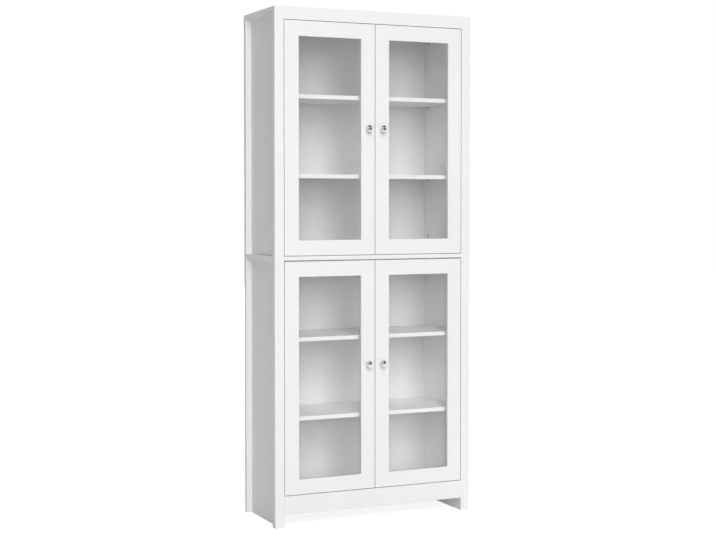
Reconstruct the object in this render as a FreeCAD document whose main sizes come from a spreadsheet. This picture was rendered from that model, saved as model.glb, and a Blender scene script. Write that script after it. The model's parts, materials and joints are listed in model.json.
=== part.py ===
"""Bookcase in two sections, one above the other, each closed by a pair of glass doors.

White painted flat-pack furniture: full-height corner posts, side panels set in from the posts'
outer faces, boards at the top, middle and bottom, thin back panels in grooves, two loose shelves
in each section, and four framed glass doors on concealed hinges.

Frame: X runs along the front, Y from the front to the back, Z up, millimetres. The origin is the
centre of the footprint on the floor, knobs included, so the door fronts lie at Y = front.
"""
import FreeCAD, Part

import math
import os

import Sketcher
from FreeCAD import Placement, Rotation, Vector

DOCUMENT = FreeCAD.newDocument("glass_door_bookcase")
SHEET = DOCUMENT.addObject("Spreadsheet::Sheet", "Sizes")

# Driving dimensions: alias, millimetres, meaning.
DIMENSIONS = [
    # carcass
    ("overall_width", 800, "across the posts' outer faces"),
    ("carcass_depth", 320, "from the door fronts to the back of the rear posts"),
    ("overall_height", 1890, "floor to the top board's upper face"),
    ("board_thick", 15, "top, middle and bottom boards"),
    ("side_thick", 15, "side panels"),
    ("rail_thick", 15, "top rail and apron"),
    ("post_width", 36, "posts, along the front"),
    ("front_post_depth", 28, "front posts, front to back"),
    ("rear_post_depth", 20, "rear posts, front to back"),
    ("foot_clearance", 48, "floor to the apron's lower edge"),
    ("apron_height", 67, "apron under the lower doors"),
    ("floor_height", 85, "floor to the bottom board's underside"),
    ("middle_height", 973, "floor to the middle board's underside"),
    ("top_rail_height", 31, "rail over the upper doors"),
    ("edge_round", 1, "eased edges of boards and posts"),
    # back panels
    ("back_thick", 3, "back panels"),
    ("back_inset", 4.5, "back panel's rear face in from the rear posts' rear faces"),
    ("groove_depth", 5, "grooves that hold the back panels"),
    ("groove_play", 0.2, "between a back panel's faces and its groove"),
    ("groove_end_play", 0.5, "between a back panel's edges and its groove"),
    # shelves
    ("shelf_thick", 15, "shelves"),
    ("shelf_setback", 32, "door fronts to the shelves' front edges"),
    ("shelf_end_play", 0.5, "between a shelf's ends and the side panels"),
    ("shelf_back_play", 2, "between a shelf's rear edge and the back panel"),
    ("upper_low_rise", 299, "middle board to the upper section's low shelf, top face"),
    ("upper_high_drop", 297, "top board down to the upper section's high shelf, top face"),
    ("lower_low_rise", 298, "bottom board to the lower section's low shelf, top face"),
    ("lower_high_drop", 284, "middle board down to the lower section's high shelf, top face"),
    ("pin_radius", 2.5, "shelf pins and their holes"),
    ("pin_hole_depth", 9, "shelf pin holes"),
    ("pin_pitch", 32, "between one shelf pin hole and the next above it"),
    ("pin_inset", 40, "shelf pins in from a shelf's front and rear edges"),
    ("pin_ledge", 9, "how far a shelf pin reaches under the shelf"),
    ("pin_collar_radius", 3.75, "shelf pin's collar and ledge"),
    ("pin_end_play", 0.5, "shelf pin's end to the floor of its hole"),
    # doors
    ("door_thick", 15, "door frames"),
    ("door_gap", 2, "gap round a door, and between two doors"),
    ("lower_top_gap", 4, "gap over the lower doors"),
    ("member_width", 56, "stiles and rails of a door frame"),
    ("door_round", 2, "round on a door's outer front edges"),
    ("opening_round", 0.8, "round on the front edges of a door's opening"),
    ("glass_thick", 3, "glass panes"),
    ("glass_lip", 11.5, "frame left in front of the glass"),
    ("glass_overlap", 8, "glass behind the frame's lip"),
    ("glass_play", 1, "between a pane's edge and the rebate's wall"),
    ("clip_length", 12, "glass clips, along the pane's edge"),
    ("clip_thick", 2, "glass clips"),
    ("clip_seat", 9, "glass clip on the frame, from the rebate's wall"),
    ("clip_reach", 6, "glass clip over the glass, from the rebate's wall"),
    ("clip_spread", 215, "between glass clips along a stile"),
    ("clip_corner", 2.4, "glass clip's round corners"),
    ("clip_foot_width", 7.2, "glass clip's foot, along the pane's edge"),
    ("clip_foot_start", 1.5, "glass clip's foot, from the rebate's wall"),
    # knobs
    ("knob_rise", 466, "door's lower edge to the knob's centre"),
    ("knob_reach", 25, "knob's front out from the door front"),
    ("knob_radius", 13.5, "knob's head"),
    ("knob_foot_radius", 7.5, "knob's foot on the door"),
    ("knob_neck_radius", 4.8, "knob's neck"),
    ("knob_screw_radius", 2, "machine screw in the knob"),
    ("knob_screw_grip", 8, "threaded hole in the knob"),
    ("knob_screw_head", 4.2, "machine screw's head, radius"),
    ("knob_screw_play", 0.5, "machine screw's end to the floor of its hole"),
    # hinges
    ("hinge_end", 90, "hinge's centre from the end of the door"),
    ("pivot_inset", 12, "hinge pin in from the door's hinge edge"),
    ("pivot_depth", 7.2, "hinge pin behind the door front"),
    ("cup_inset", 22, "cup's centre in from the door's hinge edge"),
    ("cup_radius", 17.5, "hinge cup and its bore"),
    ("cup_depth", 11.5, "cup's bore, from the door's back"),
    ("cup_wall", 1, "hinge cup, sheet thickness"),
    ("flange_thick", 1.2, "hinge cup's flange"),
    ("flange_width", 2, "hinge cup's flange beyond the cup"),
    ("cup_ear_radius", 6, "hinge cup's ears round its screws"),
    ("cup_screw_spread", 48, "between the cup's two screws"),
    ("cup_screw_offset", 9.5, "cup's screws beyond its centre"),
    ("hinge_pin_radius", 1.2, "hinge pins"),
    ("hinge_pin_play", 0.05, "between a pin and the arm's eye, on the radius"),
    ("eye_radius", 2.4, "arm's rolled eye"),
    ("arm_width", 12, "hinge arm, along the pin"),
    ("arm_thick", 1.6, "hinge arm, sheet thickness"),
    ("arm_play", 2.7, "between the arm and the door's swinging corner"),
    ("arm_bend", 6, "hinge arm's bends, at mid thickness"),
    ("arm_length", 85, "hinge arm's tail end behind the pin"),
    ("lug_thick", 2.5, "lugs that hold the pin in the cup"),
    ("lug_half", 3, "half a lug's width, across the pin"),
    ("hinge_play", 0.3, "between the arm and the lugs, and the arm's cheeks and the plate"),
    ("plate_base", 2, "mounting plate on the side panel"),
    ("plate_rail", 4, "mounting plate's rail under the arm"),
    ("plate_rail_width", 8.96, "mounting plate's rail, along the pin"),
    ("plate_spine_width", 16, "mounting plate under its rail, along the pin"),
    ("plate_ear_radius", 7, "mounting plate's ears round its screws"),
    ("plate_screw_spread", 32, "between the plate's two screws"),
    # fittings
    ("screw_radius", 1.75, "wood screws"),
    ("screw_bite", 10, "wood screws, in the wood"),
    ("screw_head", 3.4, "wood screws' heads, radius"),
    ("screw_head_height", 1.6, "wood screws' heads"),
    ("cam_radius", 7.5, "cam locks' bores"),
    ("cam_skin", 2.5, "wood left behind a cam lock's bore"),
    ("cam_setback", 24, "cam lock's centre from the joint"),
    ("cam_play", 0.1, "between a cam lock and its bore, on the radius"),
    ("cam_recess", 0.5, "cam lock's face below the board's face"),
    ("bolt_radius", 2.5, "cam bolts' threads"),
    ("bolt_bite", 11, "cam bolts' threads, length"),
    ("bolt_bore", 3.5, "cam bolts' bores in the board's edge, radius"),
    ("dowel_radius", 4, "dowels"),
    ("dowel_length", 30, "dowels"),
    ("dowel_in_face", 10, "dowel in the face that a board's end meets"),
    ("joint_margin", 60, "first fitting from a panel's corner"),
    ("joint_pitch", 32, "from a cam lock to the dowel beside it"),
    ("joint_stagger", 16, "lower fittings moved along the middle board"),
]


class Size:
    """A length that keeps its spreadsheet expression, so that arithmetic on it stays live."""

    def __init__(self, text, value):
        self.text = text
        self.value = float(value)

    def __add__(self, other):
        other = as_size(other)
        return Size(f"({self.text} + {other.text})", self.value + other.value)

    def __sub__(self, other):
        other = as_size(other)
        return Size(f"({self.text} - {other.text})", self.value - other.value)

    def __mul__(self, other):
        other = as_size(other)
        return Size(f"({self.text} * {other.text})", self.value * other.value)

    def __truediv__(self, other):
        other = as_size(other)
        return Size(f"({self.text} / {other.text})", self.value / other.value)

    def __neg__(self):
        return Size(f"(0 - {self.text})", -self.value)

    def __radd__(self, other):
        return as_size(other) + self

    def __rsub__(self, other):
        return as_size(other) - self

    def __rmul__(self, other):
        return as_size(other) * self


def as_size(number):
    """Wrap a plain number as a Size."""
    if isinstance(number, Size):
        return number
    return Size(f"({number})", number)


def fill_sheet():
    """Write every driving dimension into the sheet and return the Sizes by alias."""
    sizes = {}
    for row, (alias, number, meaning) in enumerate(DIMENSIONS, start=1):
        SHEET.set(f"A{row}", alias)
        SHEET.set(f"B{row}", str(number))
        SHEET.set(f"C{row}", meaning)
        SHEET.setAlias(f"B{row}", alias)
        sizes[alias] = Size(f"Sizes.{alias}", number)
    DOCUMENT.recompute()
    return sizes


S = fill_sheet()

# Planes and heights that several pieces share.
half = S["overall_width"] / 2
front = (S["knob_reach"] - S["carcass_depth"]) / 2
rear = front + S["carcass_depth"]
inner = half - S["post_width"]
post_back = front + S["front_post_depth"]
rear_post_front = rear - S["rear_post_depth"]
top_under = S["overall_height"] - S["board_thick"]
rail_under = top_under - S["top_rail_height"]
middle_under = S["middle_height"]
middle_top = middle_under + S["board_thick"]
floor_top = S["floor_height"] + S["board_thick"]
apron_top = S["foot_clearance"] + S["apron_height"]
back_rear = rear - S["back_inset"]
back_front = back_rear - S["back_thick"]
panel_mid = inner + S["side_thick"] / 2

DIRECTIONS = {
    "+X": Vector(1, 0, 0), "-X": Vector(-1, 0, 0),
    "+Y": Vector(0, 1, 0), "-Y": Vector(0, -1, 0),
    "+Z": Vector(0, 0, 1), "-Z": Vector(0, 0, -1),
}
REVERSE = {"+": "-", "-": "+"}


# ---------------------------------------------------------------- building blocks

def bind(thing, prop, size):
    """Tie one property of a document object to a Size."""
    thing.setExpression(prop, as_size(size).text)


def place(thing, point):
    """Tie an object's position to three Sizes."""
    for letter, size in zip("xyz", point):
        bind(thing, f"Placement.Base.{letter}", size)


def block(name, extent, point=(0, 0, 0)):
    """Box with its lowest corner at the point."""
    box = DOCUMENT.addObject("Part::Box", name)
    for prop, size in zip(("Length", "Width", "Height"), extent):
        bind(box, prop, size)
    place(box, point)
    return box


def rod(name, radius, length, point, direction):
    """Cylinder that starts at the point and runs in the named direction."""
    cylinder = DOCUMENT.addObject("Part::Cylinder", name)
    bind(cylinder, "Radius", radius)
    bind(cylinder, "Height", length)
    cylinder.Placement.Rotation = Rotation(Vector(0, 0, 1), DIRECTIONS[direction])
    place(cylinder, point)
    return cylinder


def rounded(name, base, radius, chosen):
    """Round the edges of a blank whose midpoints the test picks."""
    DOCUMENT.recompute()
    edges = []
    for number, edge in enumerate(base.Shape.Edges, start=1):
        if chosen(edge.CenterOfMass):
            edges.append((number, radius.value, radius.value))
    fillet = DOCUMENT.addObject("Part::Fillet", name)
    fillet.Base = base
    fillet.Edges = edges
    return fillet


def shifted(point, direction, distance):
    """The point moved along a named direction by a Size."""
    moved = list(point)
    axis = "XYZ".index(direction[1])
    step = as_size(distance)
    moved[axis] = moved[axis] + step if direction[0] == "+" else moved[axis] - step
    return tuple(moved)


def opposite(direction):
    """The same axis, the other way."""
    return REVERSE[direction[0]] + direction[1]


def outward_side(sign, closer, farther):
    """Lowest X of what lies between two distances from the centre, on the left or the right."""
    return closer if sign > 0 else -farther


def near(coordinate, target):
    """True within a tenth of a millimetre."""
    return abs(coordinate - target) < 0.1


class Board:
    """One wooden piece: a box placed by its lowest corner, with bores and grooves cut from it."""

    all = []

    def __init__(self, label, corner, extent, chosen=None, radius=None):
        self.label = label
        self.corner = tuple(as_size(size) for size in corner)
        self.extent = tuple(as_size(size) for size in extent)
        self.blank = block(label + "_blank", self.extent)
        if chosen:
            self.blank = rounded(label + "_eased", self.blank, radius or S["edge_round"], chosen)
        self.tools = []
        self.last_round = None
        Board.all.append(self)

    def local(self, point):
        """A point as measured from the board's lowest corner."""
        return tuple(as_size(size) - start for size, start in zip(point, self.corner))

    def bore(self, point, direction, radius, depth):
        """Round hole that starts at the point and runs in the named direction."""
        name = f"{self.label}_bore_{len(self.tools)}"
        self.tools.append(rod(name, radius, depth, self.local(point), direction))

    def trench(self, corner, extent):
        """Box-shaped cut with its lowest corner at the point."""
        name = f"{self.label}_trench_{len(self.tools)}"
        self.tools.append(block(name, extent, self.local(corner)))

    def finish(self):
        """Cut the tools from the blank, and place the result."""
        piece = self.blank
        if self.tools:
            tool = self.tools[0]
            if len(self.tools) > 1:
                tool = DOCUMENT.addObject("Part::MultiFuse", self.label + "_tools")
                tool.Shapes = self.tools
            piece = DOCUMENT.addObject("Part::Cut", self.label + "_cut")
            piece.Base = self.blank
            piece.Tool = tool
        if self.last_round:
            piece = rounded(self.label + "_rounded", piece, *self.last_round)
        piece.Label = self.label
        place(piece, self.corner)
        return piece


def group(label, shapes, origin=Vector(0, 0, 0)):
    """Several separate solids as one piece, placed at the origin given."""
    feature = DOCUMENT.addObject("Part::Feature", label)
    feature.Label = label
    feature.Shape = Part.makeCompound([shape.translated(-origin) for shape in shapes])
    feature.Placement = Placement(origin, Rotation())
    return feature


def spot(*sizes):
    """Vector from three Sizes."""
    return Vector(*[as_size(size).value for size in sizes])


def turned(z_axis, x_axis):
    """Rotation that takes a fitting's own Z and X axes to the two directions."""
    return Rotation(x_axis, z_axis.cross(x_axis), z_axis, "ZXY")


def mm(alias):
    """A driving dimension as a plain number, for shapes made in code."""
    return S[alias].value


# ---------------------------------------------------------------- carcass boards

def top_edges(point):
    """Upper outline and upright corners of the top board."""
    return not near(point.z, 0)


def make_boards():
    """Top, middle and bottom boards, the top rail and the apron."""
    boards = {}
    thick = S["board_thick"]
    boards["top"] = Board("top_board", (-half, front, top_under),
                          (half * 2, S["carcass_depth"], thick), top_edges)
    boards["middle"] = Board("middle_board", (-half, front, middle_under),
                             (half * 2, S["carcass_depth"], thick),
                             lambda p: near(p.y, 0) and near(p.x, half.value))
    for sign in (-1, 1):
        notch_x = outward_side(sign, inner, half)
        boards["middle"].trench((notch_x, front, middle_under),
                                (S["post_width"], S["front_post_depth"], thick))
        boards["middle"].trench((notch_x, rear_post_front, middle_under),
                                (S["post_width"], S["rear_post_depth"], thick))
    rail_back = front + S["rail_thick"]
    boards["bottom"] = Board("bottom_board", (-inner, rail_back, S["floor_height"]),
                             (inner * 2, rear - rail_back, thick))
    boards["rail"] = Board("top_rail", (-inner, front, rail_under),
                           (inner * 2, S["rail_thick"], S["top_rail_height"]),
                           lambda p: near(p.y, 0) and near(p.z, 0))
    boards["apron"] = Board("apron", (-inner, front, S["foot_clearance"]),
                            (inner * 2, S["rail_thick"], S["apron_height"]),
                            lambda p: near(p.z, 0) and near(p.x, inner.value)
                            or near(p.y, 0) and near(p.x, inner.value))
    groove_width = S["back_thick"] + S["groove_play"] * 2
    groove_front = back_front - S["groove_play"]
    groove = (inner * 2, groove_width, S["groove_depth"])
    long_half = inner + S["groove_depth"]
    boards["top"].trench((-long_half, groove_front, top_under),
                         (long_half * 2, groove_width, S["groove_depth"]))
    boards["middle"].trench((-inner, groove_front, middle_under), groove)
    boards["middle"].trench((-inner, groove_front, middle_top - S["groove_depth"]), groove)
    boards["bottom"].trench((-inner, groove_front, floor_top - S["groove_depth"]), groove)
    return boards


def make_posts():
    """Four corner posts. The rear ones are grooved for the back panels."""
    posts = {}
    width = S["post_width"].value
    for sign, side in ((-1, "left"), (1, "right")):
        inner_edge = width if sign < 0 else 0
        corner_x = outward_side(sign, inner, half)

        def eased_front(point, inner_edge=inner_edge):
            upright = near(point.z, top_under.value / 2)
            return upright and not (near(point.x, inner_edge) and not near(point.y, 0))

        def eased_rear(point, inner_edge=inner_edge):
            upright = near(point.z, top_under.value / 2)
            return upright and not (near(point.x, inner_edge) and near(point.y, 0))

        posts[sign, "front"] = Board(f"{side}_front_post", (corner_x, front, 0),
                                     (S["post_width"], S["front_post_depth"], top_under),
                                     eased_front)
        rear_post = Board(f"{side}_rear_post", (corner_x, rear_post_front, 0),
                          (S["post_width"], S["rear_post_depth"], top_under), eased_rear)
        groove_bottom = floor_top - S["groove_depth"]
        rear_post.trench((outward_side(sign, inner, inner + S["groove_depth"]),
                          back_front - S["groove_play"], groove_bottom),
                         (S["groove_depth"], S["back_thick"] + S["groove_play"] * 2,
                          top_under - groove_bottom))
        posts[sign, "rear"] = rear_post
    return posts


def make_side_panels():
    """Side panels between the front and rear posts, inner faces flush with the posts'."""
    panels = {}
    length = rear_post_front - post_back
    for sign, side in ((-1, "left"), (1, "right")):
        corner_x = outward_side(sign, inner, inner + S["side_thick"])
        panels[sign, "upper"] = Board(f"upper_{side}_side_panel", (corner_x, post_back, middle_top),
                                      (S["side_thick"], length, top_under - middle_top))
        panels[sign, "lower"] = Board(f"lower_{side}_side_panel", (corner_x, post_back, 0),
                                      (S["side_thick"], length, middle_under))
    return panels


def make_back_panels():
    """Thin panels held in grooves on all four edges."""
    tongue = S["groove_depth"] - S["groove_end_play"]
    for section, low, high in (("upper", middle_top, top_under), ("lower", floor_top, middle_under)):
        Board(f"{section}_back_panel", (-inner - tongue, back_front, low - tongue),
              ((inner + tongue) * 2, S["back_thick"], high - low + tongue * 2))


# ---------------------------------------------------------------- shelves and their pins

SHELVES = [
    ("upper", "high", top_under - S["upper_high_drop"]),
    ("upper", "low", middle_top + S["upper_low_rise"]),
    ("lower", "high", middle_under - S["lower_high_drop"]),
    ("lower", "low", floor_top + S["lower_low_rise"]),
]


def shelf_pin():
    """Pin, collar and flat-topped ledge. Own Z points into the cabinet, X points up."""
    radius = mm("pin_radius")
    wide = mm("pin_collar_radius")
    reach = mm("pin_ledge")
    length = mm("pin_hole_depth") - mm("pin_end_play")
    pin = Part.makeCylinder(radius, length, Vector(), Vector(0, 0, -1))
    ledge = Part.makeCylinder(wide, reach)
    above = Part.makeBox(wide, wide * 2, reach, Vector(radius, -wide, 0))
    return pin.fuse(ledge.cut(above)).removeSplitter()


def make_shelves(panels):
    """Loose shelves, each on four pins, with spare pin holes above and below."""
    depth = back_front - S["shelf_back_play"] - front - S["shelf_setback"]
    half_length = inner - S["shelf_end_play"]
    shelf_front = front + S["shelf_setback"]
    pin_places = (shelf_front + S["pin_inset"], shelf_front + depth - S["pin_inset"])
    pins = []
    for section, level, top in SHELVES:
        under = top - S["shelf_thick"]
        Board(f"{section}_section_{level}_shelf", (-half_length, shelf_front, under),
              (half_length * 2, depth, S["shelf_thick"]),
              lambda p: near(p.y, 0) and near(p.x, half_length.value))
        pin_height = under - S["pin_radius"]
        for sign in (-1, 1):
            inward = "+X" if sign < 0 else "-X"
            for pin_y in pin_places:
                for step in (-1, 0, 1):
                    hole = (inner * sign, pin_y, pin_height + S["pin_pitch"] * step)
                    panels[sign, section].bore(hole, opposite(inward), S["pin_radius"],
                                               S["pin_hole_depth"])
                pin = shelf_pin()
                turn = turned(DIRECTIONS[inward], Vector(0, 0, 1))
                pin.Placement = Placement(spot(inner * sign, pin_y, pin_height), turn)
                pins.append(pin)
    return pins


# ---------------------------------------------------------------- knock-down fittings

class Fittings:
    """Cam locks, cam bolts and dowels, collected as the joints bore their boards."""

    def __init__(self):
        self.cams = []
        self.bolts = []
        self.dowels = []

    def cam_lock(self, bolt_depth, bore_depth):
        """Zinc drum with a side mouth for the bolt's head and a cross slot in its face.

        Own Z points out of the bore from its floor, X points along the bolt to the joint.
        """
        radius = mm("cam_radius") - mm("cam_play")
        height = bore_depth - mm("cam_recess")
        mouth = mm("bolt_bore")
        drum = Part.makeCylinder(radius, height)
        axis_height = bore_depth - bolt_depth
        tunnel = Part.makeCylinder(mouth, radius * 2, Vector(-mouth, 0, axis_height), Vector(1, 0, 0))
        slot_length = radius * 1.1
        slot_width = radius * 0.2
        slots = [Part.makeBox(slot_length, slot_width, slot_width * 2,
                              Vector(-slot_length / 2, -slot_width / 2, height - slot_width)),
                 Part.makeBox(slot_width, slot_length, slot_width * 2,
                              Vector(-slot_width / 2, -slot_length / 2, height - slot_width))]
        return drum.cut([tunnel] + slots)

    def cam_bolt(self):
        """Threaded end, shank, neck and round head. Own Z points from the joint to the cam."""
        setback = mm("cam_setback")
        thread = mm("bolt_radius")
        head = thread * 1.2
        parts = [Part.makeCylinder(thread, mm("bolt_bite"), Vector(), Vector(0, 0, -1)),
                 Part.makeCylinder(thread * 1.3, 1),
                 Part.makeCylinder(thread * 0.8, setback),
                 Part.makeCylinder(head, head, Vector(0, 0, setback - head / 2))]
        return parts[0].fuse(parts[1:]).removeSplitter()

    def cam_joint(self, holder, receiver, point, inward, face, face_at, thick):
        """Bolt in the receiver's face, cam lock in the holder's face, bore in the holder's end.

        The point is on the joint, at mid thickness of the holder. Inward points from the joint
        into the holder. Face is the direction that the cam's face looks, at coordinate face_at.
        """
        receiver.bore(point, opposite(inward), S["bolt_radius"], S["bolt_bite"])
        holder.bore(point, inward, S["bolt_bore"], S["cam_setback"])
        centre = list(shifted(point, inward, S["cam_setback"]))
        centre["XYZ".index(face[1])] = face_at
        depth = thick - S["cam_skin"]
        holder.bore(centre, opposite(face), S["cam_radius"], depth)
        bottom = shifted(centre, opposite(face), depth)
        cam = self.cam_lock(thick.value / 2, depth.value)
        cam.Placement = Placement(spot(*bottom), turned(DIRECTIONS[face], -DIRECTIONS[inward]))
        self.cams.append(cam)
        bolt = self.cam_bolt()
        bolt.Placement = Placement(spot(*point), Rotation(Vector(0, 0, 1), DIRECTIONS[inward]))
        self.bolts.append(bolt)

    def dowel_joint(self, holder, receiver, point, inward):
        """Dowel through the joint, mostly in the holder's end."""
        in_end = S["dowel_length"] - S["dowel_in_face"]
        receiver.bore(point, opposite(inward), S["dowel_radius"], S["dowel_in_face"])
        holder.bore(point, inward, S["dowel_radius"], in_end)
        start = shifted(point, opposite(inward), S["dowel_in_face"])
        name = f"dowel_{len(self.dowels)}"
        self.dowels.append(rod(name, S["dowel_radius"], S["dowel_length"], start, inward))


def join_panels(fittings, boards, posts, panels):
    """Fit each side panel to the posts before and behind it and to the boards above and below."""
    margin = S["joint_margin"]
    pitch = S["joint_pitch"]
    thick = S["side_thick"]
    sections = (("upper", middle_top, top_under), ("lower", as_size(0), middle_under))
    for sign in (-1, 1):
        face = "+X" if sign < 0 else "-X"
        panel_x = panel_mid * sign
        face_x = inner * sign
        for section, low, high in sections:
            panel = panels[sign, section]
            for post, edge_y, inward in (("front", post_back, "+Y"), ("rear", rear_post_front, "-Y")):
                for end, step in ((low, 1), (high, -1)):
                    fittings.cam_joint(panel, posts[sign, post], (panel_x, edge_y, end + margin * step),
                                       inward, face, face_x, thick)
                    fittings.dowel_joint(panel, posts[sign, post],
                                         (panel_x, edge_y, end + (margin + pitch) * step), inward)
        ends = ((panels[sign, "upper"], boards["top"], top_under, "-Z", 0),
                (panels[sign, "upper"], boards["middle"], middle_top, "+Z", 0),
                (panels[sign, "lower"], boards["middle"], middle_under, "-Z", 1))
        for panel, board, level, inward, staggered in ends:
            offset = margin + S["joint_stagger"] * staggered
            for edge_y, step in ((post_back, 1), (rear_post_front, -1)):
                fittings.cam_joint(panel, board, (panel_x, edge_y + offset * step, level),
                                   inward, face, face_x, thick)
                fittings.dowel_joint(panel, board,
                                     (panel_x, edge_y + (offset + pitch) * step, level), inward)


def join_rails(fittings, boards, posts, panels):
    """Fit the bottom board to the side panels, and the rails and middle board to the posts."""
    board_mid = S["floor_height"] + S["board_thick"] / 2
    rail_mid_y = front + S["rail_thick"] / 2
    rail_back = front + S["rail_thick"]
    apron_mid = S["foot_clearance"] + S["apron_height"] / 2
    dowel_step = S["apron_height"] * 0.3
    for sign in (-1, 1):
        inward = "+X" if sign < 0 else "-X"
        end_x = inner * sign
        for edge_y, step in ((post_back, 1), (rear_post_front, -1)):
            cam_y = edge_y + S["joint_margin"] * step
            dowel_y = edge_y + (S["joint_margin"] + S["joint_pitch"]) * step
            fittings.cam_joint(boards["bottom"], panels[sign, "lower"], (end_x, cam_y, board_mid),
                               inward, "-Z", S["floor_height"], S["board_thick"])
            fittings.dowel_joint(boards["bottom"], panels[sign, "lower"],
                                 (end_x, dowel_y, board_mid), inward)
        front_post = posts[sign, "front"]
        fittings.cam_joint(boards["apron"], front_post, (end_x, rail_mid_y, apron_mid),
                           inward, "+Y", rail_back, S["rail_thick"])
        for step in (-1, 1):
            fittings.dowel_joint(boards["apron"], front_post,
                                 (end_x, rail_mid_y, apron_mid + dowel_step * step), inward)
        rail_mid = rail_under + S["top_rail_height"] / 2
        fittings.cam_joint(boards["rail"], front_post, (end_x, rail_mid_y, rail_mid),
                           inward, "+Y", rail_back, S["rail_thick"])
        middle_mid = middle_under + S["board_thick"] / 2
        post_mid_y = front + S["front_post_depth"] / 2
        fittings.dowel_joint(boards["middle"], front_post, (end_x, post_mid_y, middle_mid), inward)
        post_x = (half - S["post_width"] / 2) * sign
        fittings.dowel_joint(front_post, boards["top"], (post_x, post_mid_y, top_under), "-Z")
        rear_mid_y = rear - S["rear_post_depth"] / 2
        fittings.dowel_joint(posts[sign, "rear"], boards["top"], (post_x, rear_mid_y, top_under), "-Z")


# ---------------------------------------------------------------- hinges

def ribbon(points, radius, thick):
    """Outline of a sheet strip: straight runs between the points, bent to the radius at each."""
    edges = []
    half_thick = thick / 2
    runs = [(b - a).normalize() for a, b in zip(points, points[1:])]
    ends = {}
    for side in (1, -1):
        normals = [Vector(-run.y, run.x, 0) * side for run in runs]
        start = points[0] + normals[0] * half_thick
        ends[side, "first"] = start
        for corner, before, after, normal_a, normal_b in zip(points[1:-1], runs, runs[1:],
                                                              normals, normals[1:]):
            turn = before.x * after.y - before.y * after.x
            left = Vector(-before.y, before.x, 0) * (1 if turn > 0 else -1)
            tangent = radius * math.tan(before.getAngle(after) / 2)
            bend_in = corner - before * tangent
            bend_out = corner + after * tangent
            centre = bend_in + left * radius
            middle_reach = radius - half_thick * side * (1 if turn > 0 else -1)
            arc_start = bend_in + normal_a * half_thick
            arc_end = bend_out + normal_b * half_thick
            arc_middle = centre + (corner - centre).normalize() * middle_reach
            edges.append(Part.LineSegment(start, arc_start).toShape())
            edges.append(Part.Arc(arc_start, arc_middle, arc_end).toShape())
            start = arc_end
        last = points[-1] + normals[-1] * half_thick
        edges.append(Part.LineSegment(start, last).toShape())
        ends[side, "last"] = last
    for end in ("first", "last"):
        edges.append(Part.LineSegment(ends[1, end], ends[-1, end]).toShape())
    return Part.Wire(Part.__sortEdges__(edges))


def corner_swing():
    """Radius on which the door's rear corner at the hinge edge swings."""
    return math.hypot(mm("pivot_inset"), mm("door_thick") - mm("pivot_depth"))


def hinge_arm():
    """Sheet arm: rolled eye round the pin, gooseneck round the door's corner, channelled tail.

    Own origin at the pin's centre, X towards the door's free edge, Y to the back, for a left door.
    """
    thick = mm("arm_thick")
    width = mm("arm_width")
    clear = corner_swing() + mm("arm_play") + thick / 2
    rail_top = mm("plate_base") + mm("plate_rail")
    panel_x = -(mm("door_gap") + mm("pivot_inset"))
    tail_x = panel_x + rail_top + thick / 2
    length = mm("arm_length")
    path = [Vector(0, 0, 0), Vector(clear, 0, 0), Vector(clear, clear, 0),
            Vector(tail_x, clear, 0), Vector(tail_x, length, 0)]
    strip = Part.Face(ribbon(path, mm("arm_bend"), thick)).extrude(Vector(0, 0, width))
    strip.translate(Vector(0, 0, -width / 2))
    eye = Part.makeCylinder(mm("eye_radius"), width, Vector(0, 0, -width / 2))
    cheek_start = clear + mm("arm_bend")
    cheek = thick * 0.7
    play = mm("hinge_play")
    cheeks = []
    for low in (-width / 2, width / 2 - cheek):
        cheeks.append(Part.makeBox(mm("plate_rail") - play + thick / 2, length - cheek_start, cheek,
                                   Vector(panel_x + mm("plate_base") + play, cheek_start, low)))
    bore_radius = mm("hinge_pin_radius") + mm("hinge_pin_play")
    bore = Part.makeCylinder(bore_radius, width * 2, Vector(0, 0, -width))
    return strip.fuse([eye] + cheeks).cut(bore).removeSplitter()


def plate_reach():
    """Where the mounting plate starts and ends behind the pin."""
    start = corner_swing() + mm("arm_play") + mm("arm_bend") * 1.5
    return start, mm("arm_length") - mm("arm_bend") / 2


def mounting_plate():
    """Plate with two winged screw holes and a rail for the arm, on the side panel.

    Own origin on the panel's face at the pin's height and depth, for a left door.
    """
    base = mm("plate_base")
    start, end = plate_reach()
    spine_width = mm("plate_spine_width")
    rail_width = mm("plate_rail_width")
    ear = mm("plate_ear_radius")
    wing = mm("plate_screw_spread") / 2
    wing_y = (start + end) / 2
    spine = Part.makeBox(base, end - start, spine_width, Vector(0, start, -spine_width / 2))
    rail = Part.makeBox(base + mm("plate_rail"), end - start, rail_width,
                        Vector(0, start, -rail_width / 2))
    wings = Part.makeBox(base, ear * 2, wing * 2, Vector(0, wing_y - ear, -wing))
    parts = [rail, wings]
    holes = []
    for side in (-1, 1):
        at = Vector(0, wing_y, side * wing)
        parts.append(Part.makeCylinder(ear, base, at, Vector(1, 0, 0)))
        holes.append(Part.makeCylinder(mm("screw_radius"), base, at, Vector(1, 0, 0)))
    return spine.fuse(parts).cut(holes).removeSplitter()


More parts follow.
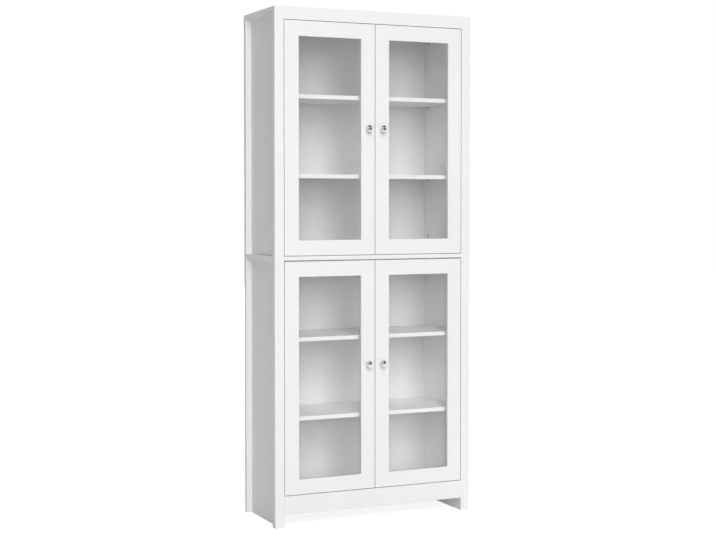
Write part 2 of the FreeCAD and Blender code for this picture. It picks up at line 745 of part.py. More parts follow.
def hinge_cup():
    """Pressed cup with a flange, two screw ears and two lugs for the pin.

    Own origin at the cup's centre on the door's back, X towards the free edge, Y out of the back.
    """
    radius = mm("cup_radius")
    depth = mm("cup_depth")
    wall = mm("cup_wall")
    flange = mm("flange_thick")
    out = Vector(0, 1, 0)
    ear = mm("cup_ear_radius")
    ear_x = mm("cup_screw_offset")
    ear_z = mm("cup_screw_spread") / 2
    shell = Part.makeCylinder(radius, depth, Vector(0, -depth, 0), out)
    ring = Part.makeCylinder(radius + mm("flange_width"), flange, Vector(), out)
    strap = Part.makeBox(ear * 2, flange, ear_z * 2, Vector(ear_x - ear, 0, -ear_z))
    parts = [ring, strap]
    holes = [Part.makeCylinder(radius - wall, depth + flange, Vector(0, wall - depth, 0), out)]
    for side in (-1, 1):
        at = Vector(ear_x, 0, side * ear_z)
        parts.append(Part.makeCylinder(ear, flange, at, out))
        holes.append(Part.makeCylinder(mm("screw_radius"), flange, at, out))
    body = shell.fuse(parts).cut(holes)
    pivot_x = mm("pivot_inset") - mm("cup_inset")
    pivot_y = mm("pivot_depth") - mm("door_thick")
    lug = mm("lug_thick")
    lug_half = mm("lug_half")
    lug_low = mm("arm_width") / 2 + mm("hinge_play")
    lugs = []
    for low in (lug_low, -lug_low - lug):
        lugs.append(Part.makeBox(lug_half * 2, pivot_y + lug_half + depth - wall / 2, lug,
                                 Vector(pivot_x - lug_half, wall / 2 - depth, low)))
    pin_bore = Part.makeCylinder(mm("hinge_pin_radius"), mm("arm_width") * 4,
                                 Vector(pivot_x, pivot_y, -mm("arm_width") * 2))
    return body.fuse(lugs).cut(pin_bore).removeSplitter()


def pan_screw(grip):
    """Pan-head wood screw. Own Z points into the wood, the origin is under the head."""
    shank = Part.makeCylinder(mm("screw_radius"), grip + mm("screw_bite"))
    height = mm("screw_head_height")
    head_radius = mm("screw_head")
    head = Part.makeCylinder(head_radius, height, Vector(), Vector(0, 0, -1))
    rim = [edge for edge in head.Edges if near(edge.CenterOfMass.z, -height)]
    head = head.makeFillet(height * 0.6, [edge for edge in rim if edge.Closed])
    slot = head_radius * 0.22
    slot_length = head_radius * 1.1
    cross = [Part.makeBox(slot_length, slot, height / 2, Vector(-slot_length / 2, -slot / 2, -height)),
             Part.makeBox(slot, slot_length, height / 2, Vector(-slot / 2, -slot_length / 2, -height))]
    return shank.fuse(head).cut(cross).removeSplitter()


# ---------------------------------------------------------------- doors

def closed_profile(sketch, points, arcs):
    """Closed outline through the points, straight or, where arcs gives a radius, round.

    An arc bulges to the left of its run where its second value is 1, and to the right at -1.
    Every corner is tied to the sketch's axes by its Sizes, and every arc to its radius.
    """
    corners = [(as_size(x), as_size(y)) for x, y in points]
    spots = [Vector(x.value, y.value, 0) for x, y in corners]
    count = len(spots)
    first_ends = []
    for index, start in enumerate(spots):
        end = spots[(index + 1) % count]
        if index not in arcs:
            sketch.addGeometry(Part.LineSegment(start, end), False)
            first_ends.append(1)
            continue
        radius, bulge = arcs[index]
        chord = end - start
        across = Vector(-chord.y, chord.x, 0).normalize() * bulge
        rise = radius.value - math.sqrt(radius.value ** 2 - (chord.Length / 2) ** 2)
        sketch.addGeometry(Part.Arc(start, (start + end) / 2 + across * rise, end), False)
        first_ends.append(2 if bulge > 0 else 1)
    for index, (x, y) in enumerate(corners):
        following = (index + 1) % count
        sketch.addConstraint(Sketcher.Constraint("Coincident", index, 3 - first_ends[index],
                                                 following, first_ends[following]))
        tie_to_axis(sketch, "DistanceX", index, first_ends[index], x)
        tie_to_axis(sketch, "DistanceY", index, first_ends[index], y)
    for index, (radius, _) in arcs.items():
        row = sketch.addConstraint(Sketcher.Constraint("Radius", index, radius.value))
        sketch.setExpression(f"Constraints[{row}]", radius.text)


def tie_to_axis(sketch, kind, geometry, vertex, size):
    """Hold one coordinate of a corner at its Size from the sketch's origin."""
    if abs(size.value) < 1e-9:
        axis = -2 if kind == "DistanceX" else -1
        sketch.addConstraint(Sketcher.Constraint("PointOnObject", geometry, vertex, axis))
        return
    if size.value > 0:
        row = sketch.addConstraint(Sketcher.Constraint(kind, -1, 1, geometry, vertex, size.value))
        sketch.setExpression(f"Constraints[{row}]", size.text)
    else:
        row = sketch.addConstraint(Sketcher.Constraint(kind, geometry, vertex, -1, 1, -size.value))
        sketch.setExpression(f"Constraints[{row}]", (-size).text)


def revolved(label, points, arcs):
    """PartDesign body: the outline turned once round its own Z axis."""
    body = DOCUMENT.addObject("PartDesign::Body", label)
    body.Label = label
    sketch = body.newObject("Sketcher::SketchObject", label + "_outline")
    plane = [item for item in body.Origin.OriginFeatures if item.Role == "XZ_Plane"][0]
    sketch.AttachmentSupport = [(plane, "")]
    sketch.MapMode = "FlatFace"
    closed_profile(sketch, points, arcs)
    turn = body.newObject("PartDesign::Revolution", label + "_turned")
    turn.Profile = sketch
    turn.ReferenceAxis = (sketch, ["V_Axis"])
    turn.Angle = 360
    return body


def knob(label, point):
    """Round knob: foot, waisted neck and domed head, with a threaded hole up its axis."""
    reach = S["knob_reach"]
    radius = S["knob_radius"]
    foot = S["knob_foot_radius"]
    neck = S["knob_neck_radius"]
    screw = S["knob_screw_radius"]
    grip = S["knob_screw_grip"]
    foot_top = reach * 0.06
    neck_low = reach * 0.26
    neck_high = reach * 0.36
    head_back = (radius * 0.93, reach * 0.64)
    widest = (radius, reach * 0.7)
    crown = radius * 0.9
    crown_rise = reach * 0.16
    flare, underside, shoulder = reach * 0.3, reach * 0.6, reach * 0.2
    dome = (crown * crown + crown_rise * crown_rise) / (crown_rise * 2)
    points = [(screw, 0), (foot, 0), (foot, foot_top), (neck, neck_low), (neck, neck_high),
              head_back, widest, (crown, reach - crown_rise), (0, reach), (0, grip), (screw, grip)]
    arcs = {2: (flare, 1), 4: (underside, 1), 6: (shoulder, -1), 7: (dome, -1)}
    body = revolved(label, points, arcs)
    body.Placement.Rotation = Rotation(Vector(0, 0, 1), DIRECTIONS["-Y"])
    place(body, point)
    return body


def knob_screw(label, point):
    """Machine screw through the stile: pan head behind, thread in the knob."""
    shank = S["knob_screw_radius"]
    head = S["knob_screw_head"]
    height = shank * 1.2
    length = S["door_thick"] + S["knob_screw_grip"] - S["knob_screw_play"]
    flat = head * 0.6
    rim = height * 0.4
    rounding = head * 0.7
    points = [(0, -height), (flat, -height), (head, -rim), (head, 0), (shank, 0),
              (shank, length), (0, length)]
    body = revolved(label, points, {1: (rounding, -1)})
    body.Placement.Rotation = Rotation(Vector(0, 0, 1), DIRECTIONS["-Y"])
    place(body, point)
    return body


def glass_clip():
    """Tab on the frame's back with a foot on the glass, and a screw hole.

    Own origin on the frame's back over the rebate's wall, X towards the glass, Y out of the back.
    """
    length = mm("clip_length")
    seat = mm("clip_seat")
    reach = mm("clip_reach")
    step = mm("door_thick") - mm("glass_lip") - mm("glass_thick")
    plate = Part.makeBox(seat + reach, mm("clip_thick"), length, Vector(-seat, 0, -length / 2))
    corners = [edge for edge in plate.Edges if near(edge.CenterOfMass.y, mm("clip_thick") / 2)]
    corner = mm("clip_corner")
    plate = plate.makeFillet(corner, corners)
    foot_start = mm("clip_foot_start")
    foot_width = mm("clip_foot_width")
    foot = Part.makeBox(reach - foot_start - corner, step, foot_width,
                        Vector(foot_start, -step, -foot_width / 2))
    hole = Part.makeCylinder(mm("screw_radius"), mm("clip_thick"), Vector(-seat / 2, 0, 0),
                             Vector(0, 1, 0))
    return plate.fuse(foot).cut(hole).removeSplitter()


class Door:
    """One framed glass door. Across is measured from the hinge edge to the free edge."""

    def __init__(self, name, sign, low, high, panel):
        self.name = name
        self.sign = sign
        self.low = low
        self.height = high - low
        self.width = inner - S["door_gap"] * 1.5
        self.hinge_x = (inner - S["door_gap"]) * sign
        self.back = front + S["door_thick"]
        self.panel = panel
        self.screws = []

    def x_at(self, across):
        """X of a distance in from the hinge edge."""
        return self.hinge_x - as_size(across) * self.sign

    def corner_x(self, near_edge, far_edge):
        """Lowest X of what lies between two distances from the hinge edge."""
        return self.x_at(near_edge) if self.sign < 0 else self.x_at(far_edge)

    def mirrored(self, shape):
        """A left door's fitting, turned over for a right door."""
        return shape if self.sign < 0 else shape.mirror(Vector(0, 0, 0), Vector(1, 0, 0))

    def make_frame(self):
        """Frame with its opening and its glass rebate."""
        def outer_front(point):
            return near(point.y, 0)

        self.frame = Board(f"{self.name}_door_frame", (self.corner_x(0, self.width), front, self.low),
                           (self.width, S["door_thick"], self.height), outer_front, S["door_round"])
        member = S["member_width"]
        opening = (self.width - member * 2, S["door_thick"], self.height - member * 2)
        self.frame.trench((self.corner_x(member, self.width - member), front, self.low + member), opening)
        self.rebate = member - S["glass_overlap"] - S["glass_play"]
        rebate_depth = S["door_thick"] - S["glass_lip"]
        self.frame.trench((self.corner_x(self.rebate, self.width - self.rebate),
                           front + S["glass_lip"], self.low + self.rebate),
                          (self.width - self.rebate * 2, rebate_depth, self.height - self.rebate * 2))
        inside = member.value - 1

        def opening_front(point):
            across = inside < point.x < self.width.value - inside
            return near(point.y, 0) and across and inside < point.z < self.height.value - inside

        self.frame.last_round = (S["opening_round"], opening_front)

    def make_glass(self):
        """Pane against the lip."""
        edge = S["member_width"] - S["glass_overlap"]
        Board(f"{self.name}_glass_pane",
              (self.corner_x(edge, self.width - edge), front + S["glass_lip"], self.low + edge),
              (self.width - edge * 2, S["glass_thick"], self.height - edge * 2))

    def add_screw(self, x, z, grip):
        """Wood screw into the frame's back through a fitting that is grip thick."""
        self.frame.bore((x, self.back, z), "-Y", S["screw_radius"], S["screw_bite"])
        screw = pan_screw(as_size(grip).value)
        screw.Placement = Placement(spot(x, self.back + grip, z),
                                    Rotation(Vector(0, 0, 1), DIRECTIONS["-Y"]))
        self.screws.append(screw)

    def make_clips(self):
        """Clips along both stiles and at the middle of both rails."""
        middle = self.low + self.height / 2
        places = []
        for step in (-1, 0, 1):
            level = middle + S["clip_spread"] * step
            places.append((self.rebate, level, 0))
            places.append((self.width - self.rebate, level, 180))
        places.append((self.width / 2, self.low + self.rebate, 90))
        places.append((self.width / 2, self.low + self.height - self.rebate, -90))
        clips = []
        for across, level, angle in places:
            clip = glass_clip()
            turn = Rotation(Vector(0, 1, 0), -angle)
            clip.Placement = Placement(Vector(0, 0, 0), turn)
            clip = self.mirrored(clip)
            clip.translate(spot(self.x_at(across), self.back, level))
            clips.append(clip)
            hole = turn.multVec(Vector(-1, 0, 0))
            seat = S["clip_seat"] / 2
            self.add_screw(self.x_at(as_size(across) + seat * round(hole.x)),
                           level + seat * round(hole.z), S["clip_thick"])
        group(f"{self.name}_glass_clips", clips)

    def make_knob(self):
        """Knob on the meeting stile, with its screw from behind."""
        x = self.x_at(self.width - S["member_width"] / 2)
        z = self.low + S["knob_rise"]
        self.frame.bore((x, front, z), "+Y", S["knob_screw_radius"], S["door_thick"])
        knob(f"{self.name}_knob", (x, front, z))
        knob_screw(f"{self.name}_knob_screw", (x, self.back, z))

    def make_hinges(self, arms, plates, plate_screws):
        """Two hinges: cups and pins on the door, arms and plates on the side panel."""
        cups = []
        pins = []
        pin_reach = S["arm_width"] / 2 + S["hinge_play"] + S["lug_thick"]
        pivot = (self.x_at(S["pivot_inset"]), front + S["pivot_depth"])
        start, end = plate_reach()
        for level in (self.low + S["hinge_end"], self.low + self.height - S["hinge_end"]):
            cup_x = self.x_at(S["cup_inset"])
            self.frame.bore((cup_x, self.back, level), "-Y", S["cup_radius"], S["cup_depth"])
            cup = self.mirrored(hinge_cup())
            cup.translate(spot(cup_x, self.back, level))
            cups.append(cup)
            for side in (-1, 1):
                self.add_screw(self.x_at(S["cup_inset"] + S["cup_screw_offset"]),
                               level + S["cup_screw_spread"] / 2 * side, S["flange_thick"])
            pins.append(rod(f"{self.name}_pin_{len(pins)}", S["hinge_pin_radius"], pin_reach * 2,
                            (pivot[0], pivot[1], level - pin_reach), "+Z"))
            arm = self.mirrored(hinge_arm())
            arm.translate(spot(*pivot, level))
            arms.append(arm)
            plate = self.mirrored(mounting_plate())
            plate.translate(spot(inner * self.sign, pivot[1], level))
            plates.append(plate)
            outward = "-X" if self.sign < 0 else "+X"
            for side in (-1, 1):
                at = (inner * self.sign, pivot[1] + (start + end) / 2,
                      level + S["plate_screw_spread"] / 2 * side)
                self.panel.bore(at, outward, S["screw_radius"], S["screw_bite"])
                screw = pan_screw(mm("plate_base"))
                screw.Placement = Placement(spot(*shifted(at, opposite(outward), S["plate_base"])),
                                            Rotation(Vector(0, 0, 1), DIRECTIONS[outward]))
                plate_screws.append(screw)
        group(f"{self.name}_hinge_cups", cups)
        bundle = DOCUMENT.addObject("Part::Compound", f"{self.name}_hinge_pins")
        bundle.Label = f"{self.name}_hinge_pins"
        bundle.Links = pins


def make_doors(panels):
    """Four doors, and the lists of hinge pieces that stay on the carcass."""
    arms, plates, plate_screws = [], [], []
    spans = (("upper", middle_top + S["door_gap"], rail_under - S["door_gap"]),
             ("lower", apron_top + S["door_gap"], middle_under - S["lower_top_gap"]))
    for section, low, high in spans:
        for sign, side in ((-1, "left"), (1, "right")):
            door = Door(f"{section}_{side}", sign, low, high, panels[sign, section])
            door.make_frame()
            door.make_glass()
            door.make_clips()
            door.make_knob()
            door.make_hinges(arms, plates, plate_screws)
            group(f"{door.name}_back_screws", door.screws)
    group("hinge_arms", arms)
    group("hinge_mounting_plates", plates)
    group("hinge_plate_screws", plate_screws)


# ---------------------------------------------------------------- assembly

def build():
    """Make every piece of the bookcase in the document."""
    boards = make_boards()
    posts = make_posts()
    panels = make_side_panels()
    make_back_panels()
    group("shelf_pins", make_shelves(panels))
    fittings = Fittings()
    join_panels(fittings, boards, posts, panels)
    join_rails(fittings, boards, posts, panels)
    make_doors(panels)
    group("cam_locks", fittings.cams)
    group("cam_bolts", fittings.bolts)
    dowels = DOCUMENT.addObject("Part::Compound", "dowels")
    dowels.Label = "dowels"
    dowels.Links = fittings.dowels
    for board in Board.all:
        board.finish()
    DOCUMENT.recompute()


CARCASS = [
    "top_board", "middle_board", "bottom_board", "top_rail", "apron",
    "left_front_post", "right_front_post", "left_rear_post", "right_rear_post",
    "upper_left_side_panel", "upper_right_side_panel",
    "lower_left_side_panel", "lower_right_side_panel",
    "upper_back_panel", "lower_back_panel",
    "upper_section_high_shelf", "upper_section_low_shelf",
    "lower_section_high_shelf", "lower_section_low_shelf",
    "shelf_pins", "hinge_arms", "hinge_mounting_plates", "hinge_plate_screws",
    "cam_locks", "cam_bolts", "dowels",
]
DOOR_PIECES = [
    "door_frame", "glass_pane", "glass_clips", "back_screws",
    "knob", "knob_screw", "hinge_cups", "hinge_pins",
]
DOORS = ["upper_left", "upper_right", "lower_left", "lower_right"]


def check_and_export():
    """Refuse a failed object or an unsound shape, then write one STEP file for each piece."""
    for thing in DOCUMENT.Objects:
        if "Invalid" in thing.State or "Error" in thing.State:
            raise RuntimeError(f"{thing.Name} failed: {thing.State}")
    labels = CARCASS + [f"{door}_{piece}" for door in DOORS for piece in DOOR_PIECES]
    os.makedirs("parts", exist_ok=True)
    for label in labels:
        found = DOCUMENT.getObjectsByLabel(label)
        if len(found) != 1:
            raise RuntimeError(f"{label}: {len(found)} objects carry this label")
        shape = found[0].Shape
        if shape.isNull() or not shape.isValid() or not shape.Solids:
            raise RuntimeError(f"{label} has no sound shape")
        shape.exportStep(f"parts/{label}.step")
        print(label, len(shape.Solids), round(shape.Volume))


build()
check_and_export()
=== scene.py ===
"""Bookcase with glass doors: finishes, floor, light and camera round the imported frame.

Metres, in the frame's own axes: X along the front, Y from the doors to the back, Z up.
"""

import json
import math

import bpy
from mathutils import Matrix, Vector


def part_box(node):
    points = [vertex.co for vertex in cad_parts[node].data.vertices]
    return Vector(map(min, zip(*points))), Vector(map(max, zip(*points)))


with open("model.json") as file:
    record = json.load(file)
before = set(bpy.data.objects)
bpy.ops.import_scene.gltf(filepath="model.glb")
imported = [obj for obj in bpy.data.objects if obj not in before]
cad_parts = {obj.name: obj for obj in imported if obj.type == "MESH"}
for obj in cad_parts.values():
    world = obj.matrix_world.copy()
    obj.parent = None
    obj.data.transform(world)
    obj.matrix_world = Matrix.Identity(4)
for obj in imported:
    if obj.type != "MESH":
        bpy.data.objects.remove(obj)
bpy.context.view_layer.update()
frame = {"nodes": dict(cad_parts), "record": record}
NODES = frame["nodes"]
MM = 0.001
WHITE = (0.887, 0.89, 0.889)  # the paint's colour
MIDDLE = Vector((0, 0, 0.95))  # the bookcase's middle, where the lamps point
SEEING_RAYS = ("Camera", "Glossy", "Transmission")  # these see the floor and the backdrop white


# ---------------------------------------------------------------- shader sums

class Value:
    """A shader socket that can stand in a Python sum; each operator adds its Math node."""

    def __init__(self, finish, socket):
        self.finish = finish
        self.socket = socket

    def other(self, output):
        """Another output of the node that this value comes from."""
        return Value(self.finish, self.socket.node.outputs[output])

    def sum(self, operation, *terms):
        """Result of one Math operation on this value and the terms."""
        sockets = dict(enumerate((self, *terms)))
        return self.finish.node("ShaderNodeMath", {"operation": operation}, sockets)

    def __add__(self, other):
        return self.sum("ADD", other)

    def __sub__(self, other):
        return self.sum("SUBTRACT", other)

    def __rsub__(self, other):
        return self * -1 + other

    def __mul__(self, other):
        return self.sum("MULTIPLY", other)

    __radd__ = __add__
    __rmul__ = __mul__

    def least(self, other):
        """The smaller of two values."""
        return self.sum("MINIMUM", other)

    def most(self, other):
        """The larger of two values."""
        return self.sum("MAXIMUM", other)

    def size(self):
        """The value without its sign."""
        return self.sum("ABSOLUTE")

    def wave(self):
        """Sine of the value."""
        return self.sum("SINE")

    def root(self):
        """Square root of the value."""
        return self.sum("SQRT")

    def ramp(self, low, high):
        """0 up to low, 1 from high on, smooth between them."""
        return self.finish.node("ShaderNodeMapRange", {"interpolation_type": "SMOOTHSTEP"},
                                {"Value": self, "From Min": low, "From Max": high})

    def spread(self):
        """Noise, which keeps near 0.5, spread over 0 to 1."""
        return self.ramp(0.3, 0.7)


class Finish:
    """A material, or the world, that is built node by node."""

    def __init__(self, owner):
        self.owner = bpy.data.materials.new(owner) if isinstance(owner, str) else owner
        self.owner.use_nodes = True
        self.tree = self.owner.node_tree
        self.tree.nodes.clear()

    def node(self, kind, settings=None, sockets=None, output=0):
        """Add a node: its settings first, then the value or link of each socket."""
        made = self.tree.nodes.new(kind)
        for name, setting in (settings or {}).items():
            setattr(made, name, setting)
        for name, value in (sockets or {}).items():
            if isinstance(value, Value):
                self.tree.links.new(value.socket, made.inputs[name])
            else:
                made.inputs[name].default_value = value
        return Value(self, made.outputs[output]) if made.outputs else None

    def axes(self):
        """Object coordinates as three values."""
        spot = self.node("ShaderNodeTexCoord", output="Object")
        split = self.node("ShaderNodeSeparateXYZ", None, {0: spot})
        return [split.other(axis) for axis in "XYZ"]

    def place(self, stretch):
        """Object coordinates, divided by how far a pattern is drawn out along each axis."""
        spot = self.node("ShaderNodeTexCoord", output="Object")
        return self.node("ShaderNodeMapping", None,
                         {"Vector": spot, "Scale": tuple(1 / length for length in stretch)})

    def noise(self, grain, detail=2, stretch=(1, 1, 1)):
        """Noise round 0.5 whose spots are about a grain across, in metres."""
        return self.node("ShaderNodeTexNoise", None,
                         {"Vector": self.place(stretch), "Scale": 1 / grain, "Detail": detail})

    def cells(self, grain, stretch=(1, 1, 1)):
        """Distance from the nearest of points scattered a grain apart, in grains."""
        return self.node("ShaderNodeTexVoronoi", None,
                         {"Vector": self.place(stretch), "Scale": 1 / grain})

    def between(self, share, low, high):
        """Colour from low to high, by a share from 0 to 1."""
        # Mix names its number, vector and colour sockets alike, so the colour ones go by their place.
        factor, first_colour, second_colour, mixed_colour = 0, 6, 7, 2
        low = low if isinstance(low, Value) else (*low, 1)
        sockets = {factor: share, first_colour: low, second_colour: (*high, 1)}
        return self.node("ShaderNodeMix", {"data_type": "RGBA"}, sockets, mixed_colour)

    def relief(self, height, depth, under=None):
        """Bump from a height of 0 to 1 that stands for a depth in metres."""
        sockets = {"Height": height, "Distance": depth, "Strength": 1.0}
        if under:
            sockets["Normal"] = under
        return self.node("ShaderNodeBump", None, sockets)

    def rays(self, *kinds):
        """1 for rays of these kinds, 0 for all others."""
        path = self.node("ShaderNodeLightPath")
        share = path.other(f"Is {kinds[0]} Ray")
        for kind in kinds[1:]:
            share = share.most(path.other(f"Is {kind} Ray"))
        return share

    def either(self, share, first, second):
        """The first shader where the share is 0, the second where it is 1."""
        return self.node("ShaderNodeMixShader", None, {0: share, 1: first, 2: second})

    def glow(self, colour):
        """A shader that shows a colour by its own light."""
        return self.node("ShaderNodeEmission", None, {"Color": colour, "Strength": 1.0})

    def surface(self, shader, kind="Material"):
        """Close the tree with a shader and hand its owner back."""
        self.node(f"ShaderNodeOutput{kind}", None, {"Surface": shader})
        return self.owner

    def principled(self, **sockets):
        """Close the material with one Principled shader and hand it back."""
        names = {name.replace("_", " "): value for name, value in sockets.items()}
        return self.surface(self.node("ShaderNodeBsdfPrincipled", None, names))


def tint(colour, factor):
    """A colour made darker or lighter by a factor."""
    return tuple(channel * factor for channel in colour)


# ---------------------------------------------------------------- finishes

def painted_board(name):
    """Satin white paint on board: soft mottle, fine pebble, and the glue line of the edge bands."""
    band, glue_line = 1.2 * MM, 0.25 * MM
    low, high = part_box(name)
    sizes = high - low
    thin = min(range(3), key=lambda axis: sizes[axis])
    made = Finish("board_" + name)
    axes = made.axes()
    first, second = (
        (axes[axis] - low[axis]).least(high[axis] - axes[axis]) for axis in range(3) if axis != thin
    )
    edge = first.least(second)
    seam = 1 - (edge - band).size().ramp(0.05 * MM, glue_line)
    cloud = made.between(made.noise(200 * MM, 3).spread(), tint(WHITE, 0.985), WHITE)
    colour = made.between(seam * 0.35, cloud, tint(WHITE, 0.72))
    pebble = made.relief(made.noise(0.7 * MM), 0.012 * MM)
    wavy = made.relief(made.noise(16 * MM, 1), 0.05 * MM, pebble)
    normal = made.relief(1 - seam, 0.05 * MM, wavy)
    rough = made.noise(45 * MM, 3) * 0.14 + 0.36
    return made.principled(Base_Color=colour, Roughness=rough, Normal=normal, IOR=1.46)


def sprayed_frame(name):
    """White lacquer on a door frame: slight orange peel, and painted shade greying the outer edges."""
    # How far in from the outer edges the grey painted gap shade reaches.
    shaded_rim = 1.2 * MM
    low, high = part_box(name)
    made = Finish("lacquer_" + name)
    across, _, up = made.axes()
    edge = (across - low.x).least(high.x - across).least((up - low.z).least(high.z - up))
    cloud = made.between(made.noise(250 * MM, 3).spread(), tint(WHITE, 0.99), tint(WHITE, 1.005))
    # The outer edges are painted greyer: painted shade for the gaps between the door and its
    # neighbours.
    colour = made.between((1 - edge.ramp(0.05 * MM, shaded_rim)) * 0.7, cloud, tint(WHITE, 0.78))
    peel = made.relief(made.noise(2.4 * MM), 0.02 * MM)
    normal = made.relief(made.noise(0.4 * MM, 1), 0.004 * MM, peel)
    rough = made.noise(28 * MM, 3) * 0.12 + 0.3
    return made.principled(Base_Color=colour, Roughness=rough, Normal=normal, IOR=1.48)


def back_board():
    """Matt white foil on thin fibreboard, with a faint upright pulp grain."""
    made = Finish("matt_back_board")
    fibres = made.noise(4 * MM, 3, (1, 1, 4))
    blotch = made.noise(140 * MM, 3)
    pulp = (fibres * 0.5 + blotch * 0.5).spread()
    colour = made.between(pulp, tint(WHITE, 0.925), tint(WHITE, 0.955))
    normal = made.relief(fibres, 0.03 * MM)
    rough = blotch * 0.15 + 0.55
    return made.principled(Base_Color=colour, Roughness=rough, Normal=normal, IOR=1.45)


def clear_glass():
    """Float glass, slightly wavy, with a trace of film. Light on what is behind passes unbent."""
    made = Finish("clear_float_glass")
    normal = made.relief(made.noise(110 * MM, 1), 0.02 * MM)
    smears = made.noise(33 * MM, 4).ramp(0.45, 0.8)
    film = made.between(smears, (1, 1, 1), (0.977, 0.979, 0.978))
    glass = made.node("ShaderNodeBsdfPrincipled", None,
                      {"Base Color": film, "Roughness": 0.0, "Transmission Weight": 1.0, "IOR": 1.5,
                       "Normal": normal})
    open_way = made.node("ShaderNodeBsdfTransparent", None, {"Color": (1, 1, 1, 1)})
    return made.surface(made.either(made.rays("Shadow", "Diffuse"), glass, open_way))


def polished_knob(name):
    """Polished plating, with fine turning rings round the knob's own axis."""
    low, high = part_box(name)
    centre = (low + high) / 2
    ring = 0.35 * MM
    made = Finish("polish_" + name)
    across, _, up = made.axes()
    across, up = across - centre.x, up - centre.z
    radius = (across * across + up * up).root()
    rings = (radius * (2 * math.pi / ring)).wave() * 0.5 + 0.5
    haze = made.noise(1.4 * MM, 3)
    colour = made.between(haze.spread(), (0.62, 0.62, 0.63), (0.70, 0.70, 0.71))
    normal = made.relief(rings, 0.0006 * MM)
    rough = haze * 0.05 + 0.045
    return made.principled(Base_Color=colour, Metallic=1.0, Roughness=rough, Normal=normal)


def plated_steel():
    """Nickel-plated pressed steel, satin, with a fine rolled grain and faint stains."""
    made = Finish("nickel_plate")
    grain = made.noise(1.1 * MM, 3, (1, 12, 1))
    stain = made.noise(11 * MM, 4)
    colour = made.between(stain.spread(), (0.62, 0.61, 0.58), (0.73, 0.72, 0.70))
    normal = made.relief(grain, 0.008 * MM)
    rough = grain * 0.12 + stain * 0.08 + 0.24
    return made.principled(Base_Color=colour, Metallic=1.0, Roughness=rough, Normal=normal)


def screw_steel():
    """Zinc-plated screws, a little blue and patchy."""
    made = Finish("zinc_plate")
    patch = made.noise(2 * MM, 4)
    colour = made.between(patch.spread(), (0.55, 0.56, 0.58), (0.70, 0.70, 0.70))
    normal = made.relief(made.cells(0.7 * MM), 0.01 * MM)
    rough = patch * 0.2 + 0.28
    return made.principled(Base_Color=colour, Metallic=1.0, Roughness=rough, Normal=normal)


def cast_zinc():
    """Die-cast zinc, dull and grainy."""
    made = Finish("cast_zinc")
    grain = made.noise(0.9 * MM, 4)
    colour = made.between(grain.spread(), (0.48, 0.48, 0.48), (0.62, 0.62, 0.61))
    normal = made.relief(grain, 0.03 * MM)
    rough = grain * 0.18 + 0.42
    return made.principled(Base_Color=colour, Metallic=1.0, Roughness=rough, Normal=normal)


def clip_plastic():
    """Moulded milky plastic."""
    made = Finish("milky_plastic")
    flow = made.noise(6 * MM, 3)
    colour = made.between(flow.spread(), (0.74, 0.75, 0.75), (0.82, 0.83, 0.83))
    normal = made.relief(made.noise(0.45 * MM), 0.006 * MM)
    rough = flow * 0.12 + 0.4
    return made.principled(Base_Color=colour, Roughness=rough, Normal=normal, IOR=1.49)


def dowel_wood():
    """Bare beech, its grain drawn out along X, with short dark flecks."""
    made = Finish("bare_beech")
    grain = made.noise(2.4 * MM, 4, (16, 1, 1))
    fleck = 1 - made.cells(1.1 * MM, (8, 1, 1)).ramp(0.12, 0.3)
    wood = made.between(grain.spread(), (0.52, 0.35, 0.19), (0.70, 0.52, 0.32))
    colour = made.between(fleck * 0.4, wood, (0.33, 0.19, 0.09))
    normal = made.relief(grain, 0.08 * MM)
    rough = grain * 0.15 + 0.62
    return made.principled(Base_Color=colour, Roughness=rough, Normal=normal, IOR=1.45)


def dress():
    """Give every node its finish, by its material slot."""
    shared = {
        "back_board": back_board(),
        "clear_glass": clear_glass(),
        "plated_steel": plated_steel(),
        "screw_steel": screw_steel(),
        "zinc": cast_zinc(),
        "clip_plastic": clip_plastic(),
        "dowel_wood": dowel_wood(),
    }
    slots = {part["node"]: part["material_slot"] for part in frame["record"]["subparts"]}
    for name, node in NODES.items():
        slot = slots[name]
        if slot == "painted_board":
            finish = sprayed_frame(name) if name.endswith("door_frame") else painted_board(name)
        elif slot == "polished_metal":
            finish = polished_knob(name)
        else:
            finish = shared[slot]
        node.data.materials.clear()
        node.data.materials.append(finish)


# ---------------------------------------------------------------- floor, backdrop, light, camera

def stage_sheet(name, corners, material):
    """Flat sheet of the studio that is no part of the bookcase."""
    mesh = bpy.data.meshes.new(name)
    mesh.from_pydata(corners, [], [(0, 1, 2, 3)])
    mesh.materials.append(material)
    sheet = bpy.data.objects.new(name, mesh)
    bpy.context.scene.collection.objects.link(sheet)
    return sheet


def hide_from(thing, *kinds):
    """Keep rays of these kinds from meeting an object."""
    for kind in kinds:
        setattr(thing, "visible_" + kind, False)


def make_floor():
    """Wide pale floor, lifted to white where it is seen, and wholly white far off; the shadow stays."""
    half, near, far = 14.0, 5.0, 10.0
    grey, lift = 0.58, 0.78
    made = Finish("pale_floor")
    made.owner.cycles.emission_sampling = "NONE"
    across, along, _ = made.axes()
    away = (across * across + along * along).root().ramp(near, far)
    white = made.between(away, (lift, lift, lift), (1, 1, 1))
    pale = made.node("ShaderNodeBsdfDiffuse", None, {"Color": (grey, grey, grey, 1)})
    lifted = made.node("ShaderNodeAddShader", None, {0: pale, 1: made.glow(white)})
    made.surface(made.either(made.rays(*SEEING_RAYS), pale, lifted))
    corners = [(-half, -half, 0), (half, -half, 0), (half, half, 0), (-half, half, 0)]
    stage_sheet("floor", corners, made.owner)


def light_world(fill):
    """White to look at, and a faint cool fill for everything else."""
    cool = (0.84, 0.86, 1.0, 1)
    world = bpy.data.worlds.new("studio")
    bpy.context.scene.world = world
    made = Finish(world)
    around = made.node("ShaderNodeBackground", None, {"Color": cool, "Strength": fill})
    white = made.node("ShaderNodeBackground", None, {"Color": (1, 1, 1, 1), "Strength": 1.0})
    made.surface(made.either(made.rays(*SEEING_RAYS), around, white), "World")


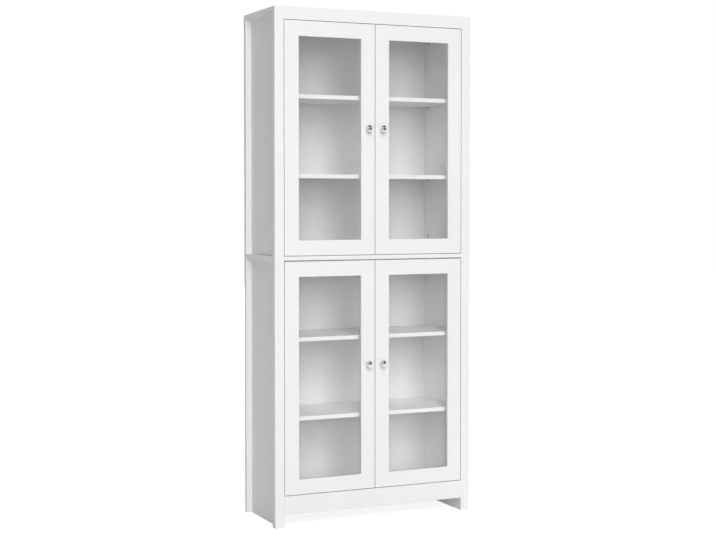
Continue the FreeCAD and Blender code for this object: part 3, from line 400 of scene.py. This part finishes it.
def softbox(name, azimuth, elevation, distance, sides, level):
    """Area lamp that points at the bookcase's middle, and that only lights: nothing mirrors it.

    Azimuth 0 is in front and 90 on the right. At a level of 1, a lamp that is small for its distance
    shows a surface that faces it in that surface's own colour, and a wide one a little darker.
    """
    lamp = bpy.data.lights.new(name, "AREA")
    lamp.shape = "RECTANGLE"
    lamp.size, lamp.size_y = sides
    lamp.energy = level * (math.pi * distance) ** 2
    holder = bpy.data.objects.new(name, lamp)
    bpy.context.scene.collection.objects.link(holder)
    turn, tilt = math.radians(azimuth), math.radians(elevation)
    back = Vector((math.cos(tilt) * math.sin(turn), -math.cos(tilt) * math.cos(turn), math.sin(tilt)))
    holder.location = MIDDLE + back * distance
    holder.rotation_mode = "QUATERNION"
    holder.rotation_quaternion = (-back).to_track_quat("-Z", "Y")
    hide_from(holder, "camera", "glossy", "transmission")


def dark_card(name, centre, along, up, fade):
    """Dark card that only reflections show: black, fading to the backdrop's white at its rim.

    centre is its middle; along and up are half its sides as vectors, each on one axis.
    """
    centre, along, up = Vector(centre), Vector(along), Vector(up)
    made = Finish("black_card")
    made.owner.cycles.emission_sampling = "NONE"
    inside = None
    for axis, value in enumerate(made.axes()):
        half = abs(along[axis] + up[axis])
        if half:  # it is 0 on the axis that the card faces
            share = (half - (value - centre[axis]).size()).ramp(0, fade)
            inside = share if inside is None else inside * share
    fading = made.between(inside, (1, 1, 1), (0, 0, 0))
    corners = [centre - along - up, centre + along - up, centre + along + up, centre - along + up]
    card = stage_sheet(name, corners, made.surface(made.glow(fading)))
    hide_from(card, "camera", "diffuse", "transmission", "volume_scatter", "shadow")


def set_camera():
    """Camera on the left of the front, turned to the right and very slightly down."""
    down, right = 1.859, 24.593
    lens = bpy.data.cameras.new("camera")
    lens.sensor_width = 36.0
    lens.lens = 72.054
    lens.shift_y = -0.0335
    lens.clip_end = 60.0
    camera = bpy.data.objects.new("camera", lens)
    bpy.context.scene.collection.objects.link(camera)
    camera.location = (-2.2753, -4.9650, 1.1944)
    camera.rotation_euler = (math.radians(90 - down), 0, math.radians(-right))
    bpy.context.scene.camera = camera


bpy.context.scene.view_settings.view_transform = "Standard"
dress()
make_floor()
light_world(fill=0.05)
softbox("key_softbox", azimuth=-12, elevation=26, distance=20, sides=(14, 20), level=0.965)
softbox("low_softbox", azimuth=10, elevation=-7, distance=4, sides=(3, 0.8), level=0.06)
softbox("side_softbox", azimuth=-62, elevation=-10, distance=4, sides=(3, 0.45), level=0.1)
softbox("rear_softbox", azimuth=150, elevation=40, distance=20, sides=(8, 8), level=0.6)
dark_card("side_card", centre=(-1.2, -2.9, 1.0), along=(0.75, 0, 0), up=(0, 0, 1.2), fade=0.35)
dark_card("front_card", centre=(1.0, -2.3, 1.45), along=(1.1, 0, 0), up=(0, 0, 1.45), fade=0.5)
dark_card("overhead_card", centre=(0.2, -1.6, 3.4), along=(1.6, 0, 0), up=(0, 1.2, 0), fade=0.5)
set_camera()
